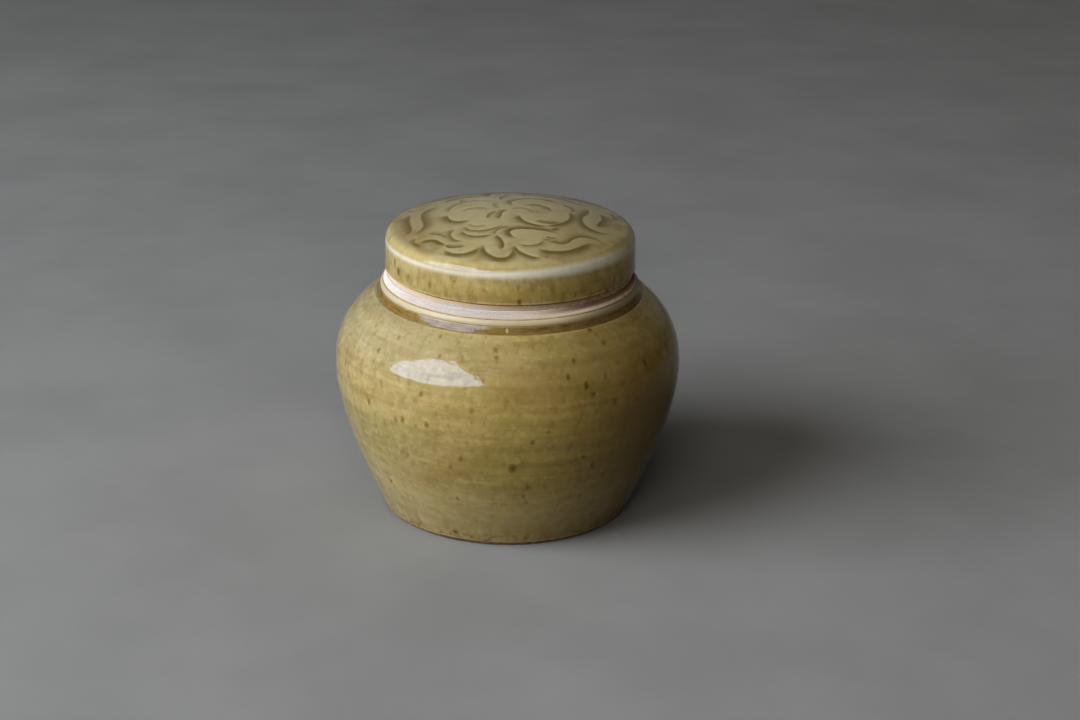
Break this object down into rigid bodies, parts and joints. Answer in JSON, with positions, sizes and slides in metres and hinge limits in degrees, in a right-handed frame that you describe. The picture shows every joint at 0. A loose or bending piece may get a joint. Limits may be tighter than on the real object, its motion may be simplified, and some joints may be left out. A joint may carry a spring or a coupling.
{
  "type": "tea jar",
  "caption": "Round stoneware tea jar with a trimmed foot, ridged shoulder and rounded collar, closed by a domed cap lid that lifts straight off the neck.",
  "frame": {"origin": "centre of the foot ring, on the surface that the jar stands on", "axes": "+Z is the turning axis, up through the lid; the lid rests 0.46 mm off that axis towards +X"},
  "size_m": [0.1, 0.1, 0.0879],
  "materials": {
    "stoneware": "matte",
    "celadon_glaze": "gloss"
  },
  "bodies": {
    "jar": {"jar_body": "stoneware", "jar_outer_glaze": "celadon_glaze", "jar_inner_glaze": "celadon_glaze"},
    "lid": {"lid_body": "stoneware", "lid_outer_glaze": "celadon_glaze", "lid_inner_glaze": "celadon_glaze"}
  },
  "joints": [
    {"name": "lid_lift", "type": "slide", "parent": "jar", "child": "lid", "axis": [0, 0, 1], "range_m": [0, 0.06]}
  ]
}
